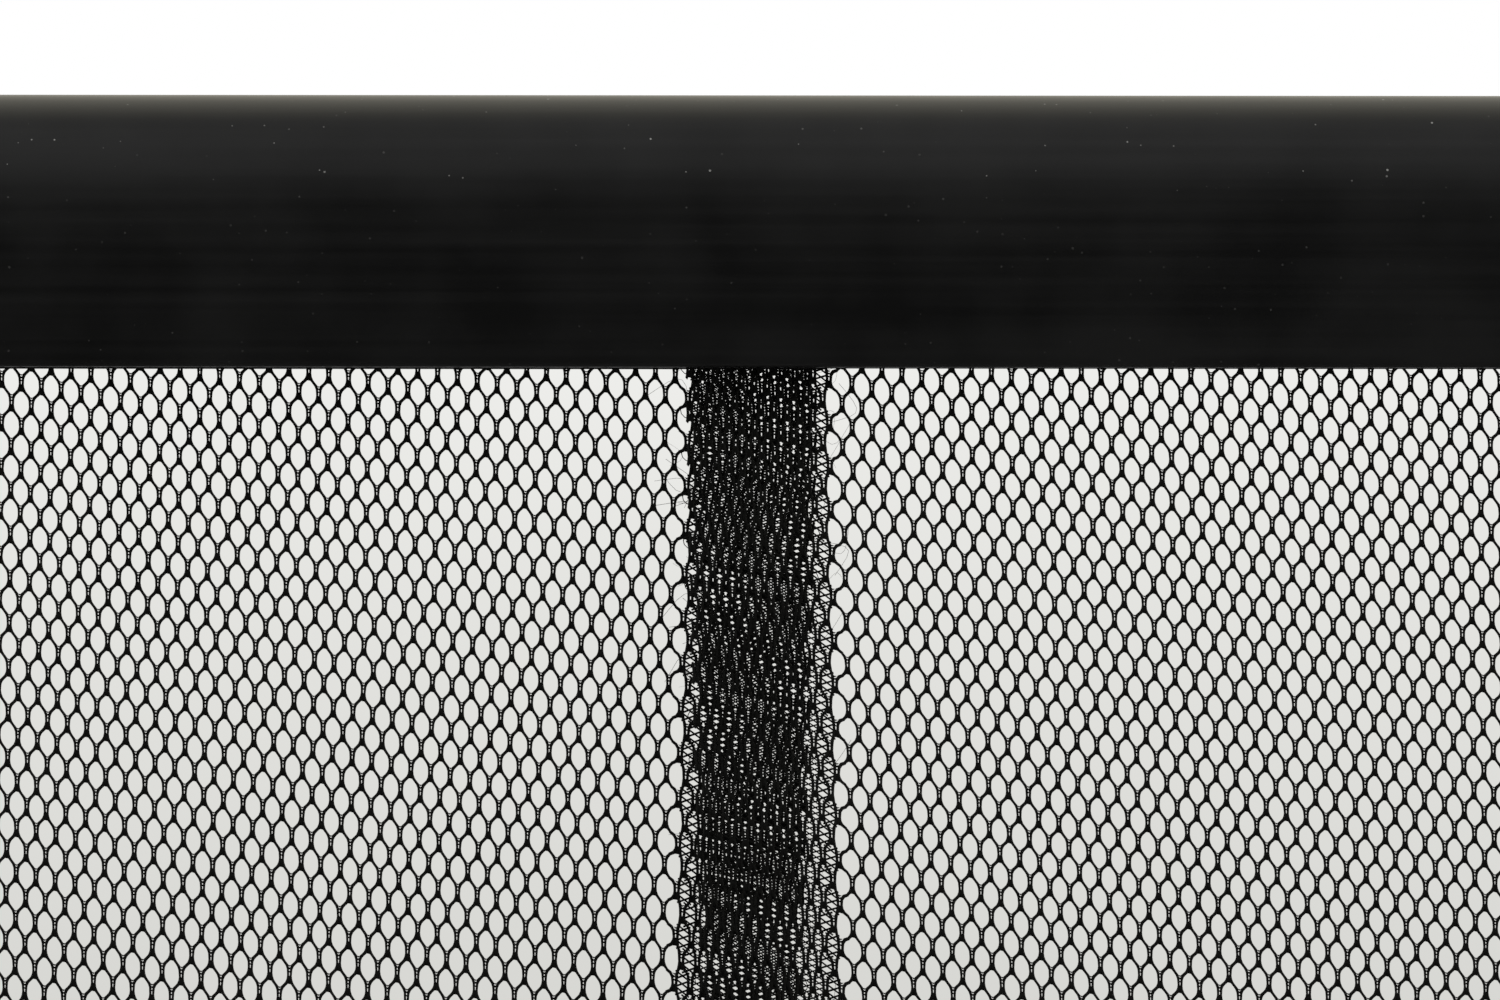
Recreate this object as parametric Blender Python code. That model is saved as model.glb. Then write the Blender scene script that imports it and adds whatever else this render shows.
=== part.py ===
"""Insect door curtain: overlapping net strips hung from a two-channel rail.

X runs along the rail, +Y points into the wall and +Z points up. The origin is
on the wall face of the mounting tape, at the rail's mid-length and mid-height.
Depth means the distance from the wall, which is -Y.
"""

import math

import bmesh
import bpy
from mathutils import Matrix, Vector

MM = 0.001

# Whole curtain
CURTAIN_WIDTH = 1000.0 * MM
CURTAIN_DROP = 2200.0 * MM
STRIP_COUNT = 4
STRIP_OVERLAP = 12.0 * MM
SIDE_CLEARANCE = 8.0 * MM
FIT_GAP = 0.3 * MM

# Mounting tape on the back of the rail
TAPE_THICKNESS = 1.0 * MM
TAPE_HEIGHT = 14.0 * MM
TAPE_END_MARGIN = 10.0 * MM

# Rear rail, an extrusion with two open channels side by side
RAIL_WALL = 1.2 * MM
CHANNEL_SLOT = 1.8 * MM
CHANNEL_HEADROOM = 1.1 * MM
SLEEVE_PLAY = 0.35 * MM
CAVITY_HEIGHT = 5.7 * MM
FLANGE_REACH = 3.5 * MM
SCREW_HOLE_RADIUS = 2.1 * MM
SCREW_HOLE_COUNT = 4

# Front cover, a curved profile that clips over the rear rail
COVER_WALL = 1.4 * MM
COVER_LEG = 1.2 * MM
COVER_ROOF_GAP = 0.5 * MM
COVER_FRONT_GAP = 0.7 * MM
COVER_EDGE_RADIUS = 8.5 * MM
COVER_EDGE_ANGLE = 50.0
COVER_LEAN = 3.5 * MM
COVER_LEAN_HEIGHT = 11.6 * MM
COVER_BOTTOM_RADIUS = 0.5 * MM
BARB_REACH = 1.1 * MM
BARB_HEIGHT = 1.2 * MM
FOOT_THICKNESS = 1.3 * MM

# End caps
CAP_PLATE = 2.0 * MM
PLUG_LENGTH = 9.0 * MM

# Net strips, with a sleeve at the head and a hem pocket at the foot
CLOTH_THICKNESS = 0.6 * MM
SELVEDGE_WIDTH = 13.0 * MM
SELVEDGE_EXTRA = 0.4 * MM
SEAM_HEIGHT = 3.0 * MM
HEADER_BAR_HEIGHT = 10.0 * MM
HEADER_BAR_THICKNESS = 1.5 * MM
HEADER_BAR_INSET = 2.0 * MM
WEIGHT_BAR_HEIGHT = 12.0 * MM
WEIGHT_BAR_THICKNESS = 2.0 * MM
WEIGHT_BAR_INSET = 4.0 * MM
BAR_CORNER_RADIUS = 1.5 * MM

# Six-sided gaps that stand for the net's mesh
GAP_COLUMNS = 4
GAP_RIB = 8.0 * MM
GAP_ROW_RATIO = 1.4
GAP_SIDE_SHARE = 0.3

# Strip width, so that the overlapping strips fill the rail between its ends
STRIP_SPAN = CURTAIN_WIDTH - 2 * SIDE_CLEARANCE
STRIP_WIDTH = (STRIP_SPAN + (STRIP_COUNT - 1) * STRIP_OVERLAP) / STRIP_COUNT
STRIP_PITCH = STRIP_WIDTH - STRIP_OVERLAP

# Sleeve, hem and selvedge sections
SELVEDGE_THICKNESS = CLOTH_THICKNESS + SELVEDGE_EXTRA
SLEEVE_DEPTH = HEADER_BAR_THICKNESS + 2 * (FIT_GAP + CLOTH_THICKNESS)
SLEEVE_HEIGHT = HEADER_BAR_HEIGHT + 2 * (FIT_GAP + CLOTH_THICKNESS)
HEM_DEPTH = WEIGHT_BAR_THICKNESS + 2 * (FIT_GAP + CLOTH_THICKNESS)
HEM_HEIGHT = WEIGHT_BAR_HEIGHT + 2 * (FIT_GAP + CLOTH_THICKNESS)

# Depths of the rail's walls, from the wall outwards
CHANNEL_DEPTH = SLEEVE_DEPTH + 2 * SLEEVE_PLAY
CHANNEL_DIVIDER = max(RAIL_WALL, HEM_DEPTH + FIT_GAP - CHANNEL_DEPTH)
RAIL_BACK = TAPE_THICKNESS + FIT_GAP
BACK_CHANNEL = RAIL_BACK + RAIL_WALL
FRONT_CHANNEL = BACK_CHANNEL + CHANNEL_DEPTH + CHANNEL_DIVIDER
RAIL_FRONT = FRONT_CHANNEL + CHANNEL_DEPTH + RAIL_WALL
BACK_PLANE = BACK_CHANNEL + CHANNEL_DEPTH / 2
FRONT_PLANE = FRONT_CHANNEL + CHANNEL_DEPTH / 2
COVER_FRONT = RAIL_FRONT + COVER_FRONT_GAP + COVER_WALL

# Heights, from the foot of the cover upwards, with zero at mid-height
CHANNEL_HEIGHT = FIT_GAP + SLEEVE_HEIGHT + CHANNEL_HEADROOM
RAIL_HEIGHT = CHANNEL_HEIGHT + CAVITY_HEIGHT + 3 * RAIL_WALL
COVER_HEIGHT = FOOT_THICKNESS + FIT_GAP + RAIL_HEIGHT + COVER_ROOF_GAP + COVER_WALL
COVER_BOTTOM = -COVER_HEIGHT / 2
COVER_TOP = COVER_HEIGHT / 2
RAIL_BOTTOM = COVER_BOTTOM + FOOT_THICKNESS + FIT_GAP
CHANNEL_FLOOR = RAIL_BOTTOM + RAIL_WALL
CHANNEL_ROOF = CHANNEL_FLOOR + CHANNEL_HEIGHT
CAVITY_FLOOR = CHANNEL_ROOF + RAIL_WALL
CAVITY_ROOF = CAVITY_FLOOR + CAVITY_HEIGHT
RAIL_TOP = CAVITY_ROOF + RAIL_WALL
SLEEVE_FOOT = CHANNEL_FLOOR + FIT_GAP
SLEEVE_TOP = SLEEVE_FOOT + SLEEVE_HEIGHT
STRIP_FOOT = COVER_TOP - CURTAIN_DROP
HEM_TOP = STRIP_FOOT + HEM_HEIGHT

# Rounded top edge of the cover, the leaning face below it, and the barbed leg behind
EDGE_TURN = math.radians(COVER_EDGE_ANGLE)
EDGE_END = (COVER_FRONT - COVER_LEAN, COVER_TOP - COVER_EDGE_RADIUS * (1 - math.sin(EDGE_TURN)))
EDGE_CENTER = (EDGE_END[0] - COVER_EDGE_RADIUS * math.cos(EDGE_TURN), COVER_TOP - COVER_EDGE_RADIUS)
LEAN_FOOT = COVER_TOP - COVER_LEAN_HEIGHT
LEAN_TURN = 2 * math.atan2(COVER_LEAN, EDGE_END[1] - LEAN_FOOT)
LEAN_RADIUS = (EDGE_END[1] - LEAN_FOOT) / math.sin(LEAN_TURN)
LEG_BACK = BACK_CHANNEL + FLANGE_REACH + FIT_GAP
LEG_FRONT = LEG_BACK + COVER_LEG
BARB_TOP = CAVITY_ROOF - FIT_GAP
BARB_FOOT = BARB_TOP - BARB_HEIGHT

# Length of the rail and cover between the end caps
PROFILE_LENGTH = CURTAIN_WIDTH - 2 * (CAP_PLATE + FIT_GAP)


def clear_scene():
    for old in list(bpy.data.objects):
        bpy.data.objects.remove(old, do_unlink=True)


def make_material(name, color, roughness, metallic=0.0):
    material = bpy.data.materials.new(name)
    material.use_nodes = True
    shader = material.node_tree.nodes["Principled BSDF"]
    shader.inputs["Base Color"].default_value = (*color, 1.0)
    shader.inputs["Roughness"].default_value = roughness
    shader.inputs["Metallic"].default_value = metallic
    material.diffuse_color = (*color, 1.0)
    return material


def extruded_mesh(name, points, start, run):
    """A closed prism: the outline's 3-D points moved to start, then swept along run."""
    build = bmesh.new()
    vertices = [build.verts.new(Vector(point) + start) for point in points]
    face = build.faces.new(vertices)
    swept = bmesh.ops.extrude_face_region(build, geom=[face])
    moved = [item for item in swept["geom"] if isinstance(item, bmesh.types.BMVert)]
    bmesh.ops.translate(build, verts=moved, vec=run)
    bmesh.ops.recalc_face_normals(build, faces=build.faces)
    mesh = bpy.data.meshes.new(name)
    build.to_mesh(mesh)
    build.free()
    return mesh


def profile_mesh(name, section, length):
    """A section of (depth, height) points swept along X, centred on X = 0."""
    points = [(0.0, -depth, height) for depth, height in section]
    return extruded_mesh(name, points, Vector((-length / 2, 0, 0)), Vector((length, 0, 0)))


def plate_mesh(name, outline, thickness):
    """An outline of (x, height) points swept along Y, centred on Y = 0."""
    points = [(x, 0.0, height) for x, height in outline]
    return extruded_mesh(name, points, Vector((0, -thickness / 2, 0)), Vector((0, thickness, 0)))


def rectangle(low, high):
    return [(low[0], low[1]), (high[0], low[1]), (high[0], high[1]), (low[0], high[1])]


def arc(center, radius, start_degrees, end_degrees, steps):
    """Points on an arc, both ends included."""
    points = []
    for step in range(steps + 1):
        angle = math.radians(start_degrees + (end_degrees - start_degrees) * step / steps)
        points.append((center[0] + radius * math.cos(angle), center[1] + radius * math.sin(angle)))
    return points


def rounded_rectangle(width, height, radius):
    right = width / 2 - radius
    top = height / 2 - radius
    points = []
    for sign_x, sign_z, start in ((1, 1, 0), (-1, 1, 90), (-1, -1, 180), (1, -1, 270)):
        points += arc((sign_x * right, sign_z * top), radius, start, start + 90, 3)
    return points


def place(name, mesh, material, location=(0.0, 0.0, 0.0)):
    """An object of its own for one sub-part, smooth where the angle is small."""
    mesh.materials.clear()
    mesh.materials.append(material)
    mesh.shade_smooth()
    mesh.set_sharp_from_angle(angle=math.radians(35))
    piece = bpy.data.objects.new(name, mesh)
    piece.location = location
    bpy.context.scene.collection.objects.link(piece)


def combined_mesh(name, base, additions, cuts):
    """The base mesh joined with each addition and cut by each cut, as one solid."""
    host = bpy.data.objects.new(name, base)
    bpy.context.scene.collection.objects.link(host)
    helpers = []
    for operation, meshes in (("UNION", additions), ("DIFFERENCE", cuts)):
        for mesh in meshes:
            helper = bpy.data.objects.new(mesh.name, mesh)
            bpy.context.scene.collection.objects.link(helper)
            boolean = host.modifiers.new(operation.title(), "BOOLEAN")
            boolean.solver = "EXACT"
            boolean.operation = operation
            boolean.object = helper
            helpers.append(helper)
    bpy.context.view_layer.update()
    evaluated = host.evaluated_get(bpy.context.evaluated_depsgraph_get())
    result = bpy.data.meshes.new_from_object(evaluated)
    result.name = name
    for temporary in helpers + [host]:
        bpy.data.objects.remove(temporary, do_unlink=True)
    return result


def joined_mesh(name, meshes):
    """Separate closed shapes collected in one mesh, as one cutter."""
    build = bmesh.new()
    for mesh in meshes:
        build.from_mesh(mesh)
    result = bpy.data.meshes.new(name)
    build.to_mesh(result)
    build.free()
    return result


def tape_piece(material):
    section = rectangle((0.0, CAVITY_FLOOR - TAPE_HEIGHT), (TAPE_THICKNESS, CAVITY_FLOOR))
    mesh = profile_mesh("mounting_tape", section, PROFILE_LENGTH - 2 * TAPE_END_MARGIN)
    place("mounting_tape", mesh, material)


def channel_section(channel_start, plane):
    """One channel's inside, from its back lip round under the roof to its front lip."""
    channel_end = channel_start + CHANNEL_DEPTH
    slot_low = plane - CHANNEL_SLOT / 2
    slot_high = plane + CHANNEL_SLOT / 2
    return [
        (slot_low, RAIL_BOTTOM), (slot_low, CHANNEL_FLOOR),
        (channel_start, CHANNEL_FLOOR), (channel_start, CHANNEL_ROOF),
        (channel_end, CHANNEL_ROOF), (channel_end, CHANNEL_FLOOR),
        (slot_high, CHANNEL_FLOOR), (slot_high, RAIL_BOTTOM),
    ]


def rail_section():
    flange_tip = BACK_CHANNEL + FLANGE_REACH
    section = [(RAIL_BACK, RAIL_BOTTOM)]
    section += channel_section(BACK_CHANNEL, BACK_PLANE)
    section += channel_section(FRONT_CHANNEL, FRONT_PLANE)
    section += [
        (RAIL_FRONT, RAIL_BOTTOM), (RAIL_FRONT, CAVITY_FLOOR),
        (BACK_CHANNEL, CAVITY_FLOOR), (BACK_CHANNEL, CAVITY_ROOF),
        (flange_tip, CAVITY_ROOF), (flange_tip, RAIL_TOP), (RAIL_BACK, RAIL_TOP),
    ]
    return section


def rail_piece(material):
    """Screw holes go through the back wall, above the tape, inside the cavity."""
    height = (CAVITY_FLOOR + CAVITY_ROOF) / 2
    drills = []
    for index in range(SCREW_HOLE_COUNT):
        x = PROFILE_LENGTH * ((index + 0.5) / SCREW_HOLE_COUNT - 0.5)
        ring = arc((x, height), SCREW_HOLE_RADIUS, 0, 330, 11)
        drill = plate_mesh("screw_drill", ring, 3 * RAIL_WALL)
        drill.transform(Matrix.Translation((0, -(RAIL_BACK + RAIL_WALL / 2), 0)))
        drills.append(drill)
    body = profile_mesh("rear_rail_body", rail_section(), PROFILE_LENGTH)
    mesh = combined_mesh("rear_rail", body, [], [joined_mesh("screw_drills", drills)])
    place("rear_rail", mesh, material)


def cover_front_curve(inset):
    """The cover's face from its top edge to its foot, moved inwards by inset."""
    crease_turn = (EDGE_TURN + LEAN_TURN) / 2
    crease_inset = inset / math.cos((EDGE_TURN - LEAN_TURN) / 2)
    crease = (EDGE_END[0] - crease_inset * math.cos(crease_turn),
              EDGE_END[1] - crease_inset * math.sin(crease_turn))
    edge = arc(EDGE_CENTER, COVER_EDGE_RADIUS - inset, 90, COVER_EDGE_ANGLE, 5)
    lean = arc((COVER_FRONT - LEAN_RADIUS, LEAN_FOOT), LEAN_RADIUS - inset, math.degrees(LEAN_TURN), 0, 8)
    return edge[:-1] + [crease] + lean[1:]


def cover_outer_outline():
    """The cover's outside, from the back of its roof round to the back of its foot."""
    bottom_center = (COVER_FRONT - COVER_BOTTOM_RADIUS, COVER_BOTTOM + COVER_BOTTOM_RADIUS)
    outline = [(RAIL_BACK, COVER_TOP)]
    outline += cover_front_curve(0.0)
    outline += arc(bottom_center, COVER_BOTTOM_RADIUS, 0, -90, 3)
    return outline


def cover_underside(depth):
    """Height of the roof's inner face, flat at the back and round towards the edge."""
    past_flat = max(0.0, depth - EDGE_CENTER[0])
    return EDGE_CENTER[1] + math.sqrt((COVER_EDGE_RADIUS - COVER_WALL) ** 2 - past_flat ** 2)


def cover_piece(material):
    """The barbed leg under the roof catches below the rail's flange."""
    foot_end = FRONT_PLANE + CHANNEL_SLOT / 2 + FIT_GAP
    foot_top = COVER_BOTTOM + FOOT_THICKNESS
    roof_under = COVER_TOP - COVER_WALL
    section = cover_outer_outline()
    section += [(foot_end, COVER_BOTTOM), (foot_end, foot_top), (COVER_FRONT - COVER_WALL, foot_top)]
    section += [point for point in reversed(cover_front_curve(COVER_WALL)) if point[0] > LEG_FRONT]
    section += [
        (LEG_FRONT, cover_underside(LEG_FRONT)), (LEG_FRONT, BARB_FOOT), (LEG_BACK, BARB_FOOT),
        (LEG_BACK - BARB_REACH, BARB_FOOT + BARB_HEIGHT / 2), (LEG_BACK - BARB_REACH, BARB_TOP),
        (LEG_BACK, BARB_TOP), (LEG_BACK, cover_underside(LEG_BACK)),
    ]
    if EDGE_CENTER[0] < LEG_BACK:
        section.append((EDGE_CENTER[0], roof_under))
    section.append((RAIL_BACK, roof_under))
    place("front_cover", profile_mesh("front_cover", section, PROFILE_LENGTH), material)


def cap_pieces(material):
    """Each cap is a plate over the rail's end, with a plug in the upper cavity."""
    plug_low = (BACK_CHANNEL + FIT_GAP, CAVITY_FLOOR + FIT_GAP)
    plug_high = (EDGE_END[0] - COVER_WALL - FIT_GAP, BARB_FOOT - FIT_GAP)
    plug_run = PLUG_LENGTH + CAP_PLATE / 2
    for name, side in (("end_cap_left", -1), ("end_cap_right", 1)):
        plate = profile_mesh(name + "_plate", cover_outer_outline() + [(RAIL_BACK, COVER_BOTTOM)], CAP_PLATE)
        plug = profile_mesh(name + "_plug", rectangle(plug_low, plug_high), plug_run)
        plug.transform(Matrix.Translation((-side * plug_run / 2, 0, 0)))
        x = side * (CURTAIN_WIDTH - CAP_PLATE) / 2
        place(name, combined_mesh(name, plate, [plug], []), material, (x, 0, 0))


def gap_outlines():
    """Staggered rows of six-sided gaps between the selvedges, points up and down."""
    net_width = STRIP_WIDTH - 2 * SELVEDGE_WIDTH
    column_pitch = (net_width - GAP_RIB) / GAP_COLUMNS
    row_pitch = column_pitch * GAP_ROW_RATIO
    cell_side = row_pitch * GAP_SIDE_SHARE
    cell_point = row_pitch - cell_side
    slope = math.atan2(cell_point - cell_side, column_pitch / 2)
    half_width = (column_pitch - GAP_RIB) / 2
    point = cell_point - GAP_RIB / 2 / math.cos(slope)
    side = point - half_width * math.tan(slope)
    net_low = HEM_TOP + SEAM_HEIGHT + GAP_RIB
    net_high = COVER_BOTTOM - GAP_RIB
    row_count = int((net_high - net_low - 2 * point) / row_pitch) + 1
    first_row = (net_high + net_low - (row_count - 1) * row_pitch) / 2
    outlines = []
    for row in range(row_count):
        height = first_row + row * row_pitch
        in_row = GAP_COLUMNS - row % 2
        for column in range(in_row):
            x = (column - (in_row - 1) / 2) * column_pitch
            outlines.append([
                (x, height + point), (x - half_width, height + side), (x - half_width, height - side),
                (x, height - point), (x + half_width, height - side), (x + half_width, height + side),
            ])
    return outlines


def fold_side(side, depth, low, high):
    """One rounded side of a folded pocket, from its low end to its high end."""
    radius = min(2 * CLOTH_THICKNESS, 0.4 * (depth - SELVEDGE_THICKNESS))
    inner = side * (depth / 2 - radius)
    turn = 0 if side > 0 else 180
    points = arc((inner, low + radius), radius, turn - side * 90, turn, 3)
    points += arc((inner, high - radius), radius, turn, turn + side * 90, 3)
    return points


def strip_section():
    """Foot hem, cloth at the selvedges' thickness and head sleeve, seen from the side."""
    half_cloth = SELVEDGE_THICKNESS / 2
    sides = []
    for side in (1, -1):
        points = fold_side(side, HEM_DEPTH, STRIP_FOOT, HEM_TOP)
        points += [(side * half_cloth, HEM_TOP), (side * half_cloth, SLEEVE_FOOT)]
        points += fold_side(side, SLEEVE_DEPTH, SLEEVE_FOOT, SLEEVE_TOP)
        sides.append(points)
    return sides[0] + list(reversed(sides[1]))


def strip_mesh():
    """One strip about its own middle: net, selvedges, head sleeve and foot hem."""
    body = profile_mesh("strip_body", strip_section(), STRIP_WIDTH)
    recess_low = HEM_TOP + SEAM_HEIGHT
    recess_high = SLEEVE_FOOT - SEAM_HEIGHT
    recesses = []
    for side in (-1, 1):
        face = rectangle((side * CLOTH_THICKNESS / 2, recess_low), (side * SELVEDGE_THICKNESS, recess_high))
        recesses.append(profile_mesh("recess", face, STRIP_WIDTH - 2 * SELVEDGE_WIDTH))
    openings = []
    for depth, low, high in ((SLEEVE_DEPTH, SLEEVE_FOOT, SLEEVE_TOP), (HEM_DEPTH, STRIP_FOOT, HEM_TOP)):
        half_depth = depth / 2 - CLOTH_THICKNESS
        pocket = rectangle((-half_depth, low + CLOTH_THICKNESS), (half_depth, high - CLOTH_THICKNESS))
        openings.append(profile_mesh("pocket", pocket, STRIP_WIDTH + 2 * SELVEDGE_WIDTH))
    openings += [plate_mesh("gap", outline, 4 * CLOTH_THICKNESS) for outline in gap_outlines()]
    cuts = [joined_mesh("recesses", recesses), joined_mesh("pockets_and_gaps", openings)]
    return combined_mesh("net_strip", body, [], cuts)


def bar_mesh(name, length, height, thickness):
    return plate_mesh(name, rounded_rectangle(length, height, BAR_CORNER_RADIUS), thickness)


def strip_pieces(net, header_plastic, weight_steel):
    """Odd strips hang in the front channel and even strips in the back one."""
    cloth = strip_mesh()
    header_length = STRIP_WIDTH - 2 * HEADER_BAR_INSET
    header = bar_mesh("header_bar", header_length, HEADER_BAR_HEIGHT, HEADER_BAR_THICKNESS)
    weight_length = STRIP_WIDTH - 2 * WEIGHT_BAR_INSET
    weight = bar_mesh("weight_bar", weight_length, WEIGHT_BAR_HEIGHT, WEIGHT_BAR_THICKNESS)
    for index in range(STRIP_COUNT):
        number = str(index + 1)
        x = (index - (STRIP_COUNT - 1) / 2) * STRIP_PITCH
        y = -(FRONT_PLANE if index % 2 == 0 else BACK_PLANE)
        place("net_strip_" + number, cloth, net, (x, y, 0))
        place("header_bar_" + number, header, header_plastic, (x, y, SLEEVE_TOP - SLEEVE_HEIGHT / 2))
        place("weight_bar_" + number, weight, weight_steel, (x, y, STRIP_FOOT + HEM_HEIGHT / 2))


def build_curtain():
    clear_scene()
    tape_piece(make_material("grey_foam_tape", (0.32, 0.32, 0.31), 0.95))
    rail_piece(make_material("black_anodised_rail", (0.02, 0.02, 0.021), 0.45, 0.6))
    black_plastic = make_material("black_satin_plastic", (0.008, 0.008, 0.008), 0.35)
    cover_piece(black_plastic)
    cap_pieces(black_plastic)
    strip_pieces(
        make_material("black_polyester_net", (0.012, 0.012, 0.011), 0.85),
        make_material("white_header_plastic", (0.72, 0.72, 0.70), 0.5),
        make_material("zinc_plated_steel", (0.56, 0.57, 0.58), 0.38, 1.0),
    )


build_curtain()
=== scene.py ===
import math

import bmesh
import bpy
import numpy as np
from mathutils import Matrix, Vector


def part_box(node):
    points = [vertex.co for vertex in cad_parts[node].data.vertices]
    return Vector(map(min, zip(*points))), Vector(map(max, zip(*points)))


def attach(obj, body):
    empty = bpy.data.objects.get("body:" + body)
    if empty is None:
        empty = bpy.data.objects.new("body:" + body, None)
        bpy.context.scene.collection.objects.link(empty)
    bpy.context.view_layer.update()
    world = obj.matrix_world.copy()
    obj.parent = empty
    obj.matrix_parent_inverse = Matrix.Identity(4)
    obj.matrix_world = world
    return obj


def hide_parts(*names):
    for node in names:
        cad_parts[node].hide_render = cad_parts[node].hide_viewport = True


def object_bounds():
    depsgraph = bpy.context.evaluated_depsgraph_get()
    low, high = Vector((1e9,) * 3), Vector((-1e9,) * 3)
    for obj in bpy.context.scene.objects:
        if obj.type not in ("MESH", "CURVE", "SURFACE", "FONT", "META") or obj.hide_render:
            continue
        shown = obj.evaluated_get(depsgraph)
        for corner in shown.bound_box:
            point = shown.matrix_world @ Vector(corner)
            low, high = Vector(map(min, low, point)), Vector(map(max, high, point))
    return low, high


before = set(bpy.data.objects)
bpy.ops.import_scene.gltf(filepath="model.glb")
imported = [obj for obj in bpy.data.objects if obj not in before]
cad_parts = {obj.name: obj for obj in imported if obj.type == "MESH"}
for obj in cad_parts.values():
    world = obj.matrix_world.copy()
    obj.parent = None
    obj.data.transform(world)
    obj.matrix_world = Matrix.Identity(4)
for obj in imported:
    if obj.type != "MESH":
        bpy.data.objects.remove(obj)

cad_low, cad_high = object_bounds()
MM = 0.001


# Camera. The photograph looks level and square at the middle of the rail, where
# the second and third strips overlap, through a long lens and with a trace of roll.
STRIPS = (1, 2, 3, 4)
strip_box = {number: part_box("net_strip_%d" % number) for number in STRIPS}
strip_plane = {number: (low.y + high.y) / 2 for number, (low, high) in strip_box.items()}
LENS = 200.0
SENSOR = 36.0
VIEW_WIDTH = 142.6 * MM
VIEW_X = -0.67 * MM
VIEW_Z = -25.52 * MM
VIEW_ROLL = 0.05
view_distance = VIEW_WIDTH * LENS / SENSOR
camera_data = bpy.data.cameras.new("close_view")
camera_data.lens = LENS
camera_data.sensor_width = SENSOR
camera_data.clip_start = 0.01
camera = bpy.data.objects.new("close_view", camera_data)
stand = Vector((VIEW_X, (strip_plane[2] + strip_plane[3]) / 2 - view_distance, VIEW_Z))
aim = Matrix.Rotation(math.radians(90), 4, "X") @ Matrix.Rotation(math.radians(VIEW_ROLL), 4, "Z")
camera.matrix_world = Matrix.Translation(stand) @ aim
bpy.context.scene.collection.objects.link(camera)
bpy.context.scene.camera = camera
bpy.context.scene.view_settings.view_transform = "Standard"


# Studio. A pale backdrop that falls off slightly towards the floor stands behind
# the curtain, a broad soft light above it, and the room in front of it is dark.
def node(tree, kind, inputs=None, **settings):
    """One node of a tree, with its settings, and a value or a link for each input."""
    made = tree.nodes.new(kind)
    for key, value in settings.items():
        setattr(made, key, value)
    for key, value in (inputs or {}).items():
        if isinstance(value, bpy.types.NodeSocket):
            tree.links.new(value, made.inputs[key])
        else:
            made.inputs[key].default_value = value
    return made


def calc(tree, operation, *values):
    """The result of one Math node."""
    return node(tree, "ShaderNodeMath", dict(enumerate(values)), operation=operation).outputs[0]


def ramp(tree, factor, stops):
    """A colour ramp with a grey level or an RGB colour at each position."""
    made = node(tree, "ShaderNodeValToRGB", {"Fac": factor})
    band = made.color_ramp
    while len(band.elements) < len(stops):
        band.elements.new(1.0)
    for element, (position, color) in zip(band.elements, stops):
        element.position = position
        element.color = (*color, 1.0) if isinstance(color, tuple) else (color, color, color, 1.0)
    return made.outputs["Color"]


BACKDROP = (  # sine of the elevation, then the backdrop's colour there
    (-0.060, (0.680, 0.680, 0.652)),
    (-0.014, (0.770, 0.770, 0.742)),
    (0.013, (0.840, 0.840, 0.816)),
    (0.046, (1.0, 1.0, 1.0)),
)
REFLECTED_ROOM = (  # degrees from the front horizon up and over to the back, then the colour there
    (-180, 0.42), (-175, 0.22), (-150, 0.16), (-100, 0.12), (-60, 0.04), (-15, 0.012), (0, 0.012),
    (20, 0.072), (42, 0.34), (80, 0.36), (93, (0.70, 0.68, 0.59)), (150, (0.74, 0.71, 0.60)),
    (180, (1.0, 0.95, 0.80)),
)
ROOM_LIGHT = (0.80, 0.80, 0.79)
world = bpy.data.worlds.new("studio")
bpy.context.scene.world = world
world.use_nodes = True
tree = world.node_tree
tree.nodes.clear()
direction = node(tree, "ShaderNodeTexCoord").outputs["Generated"]
split = node(tree, "ShaderNodeSeparateXYZ", {0: direction})
height = calc(tree, "MULTIPLY_ADD", split.outputs["Z"], 0.5, 0.5)
backdrop = ramp(tree, height, [(sine / 2 + 0.5, color) for sine, color in BACKDROP])
forward = calc(tree, "MULTIPLY", split.outputs["Y"], -1.0)
over = calc(tree, "ARCTAN2", split.outputs["Z"], forward)
turned = calc(tree, "MULTIPLY_ADD", over, 0.5 / math.pi, 0.5)
room = ramp(tree, turned, [(angle / 360 + 0.5, color) for angle, color in REFLECTED_ROOM])
ray = node(tree, "ShaderNodeLightPath")
lit = node(tree, "ShaderNodeBackground", {"Color": (*ROOM_LIGHT, 1.0)})
mirrored = node(tree, "ShaderNodeBackground", {"Color": room})
shown = node(tree, "ShaderNodeBackground", {"Color": backdrop})
seen = calc(tree, "MAXIMUM", ray.outputs["Is Camera Ray"], ray.outputs["Is Transmission Ray"])
unseen = node(tree, "ShaderNodeMixShader", {
    0: ray.outputs["Is Glossy Ray"], 1: lit.outputs[0], 2: mirrored.outputs[0]})
whole = node(tree, "ShaderNodeMixShader", {0: seen, 1: unseen.outputs[0], 2: shown.outputs[0]})
node(tree, "ShaderNodeOutputWorld", {"Surface": whole.outputs[0]})

SOFTBOX_STRENGTH = 0.6
SOFTBOX_ANGLE = 40.0
SOFTBOX_TURN = (35.0, 12.0)
softbox_data = bpy.data.lights.new("softbox", "SUN")
softbox_data.energy = SOFTBOX_STRENGTH
softbox_data.angle = math.radians(SOFTBOX_ANGLE)
softbox = bpy.data.objects.new("softbox", softbox_data)
softbox.rotation_euler = (math.radians(SOFTBOX_TURN[0]), math.radians(SOFTBOX_TURN[1]), 0)
softbox.visible_glossy = False
bpy.context.scene.collection.objects.link(softbox)


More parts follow.
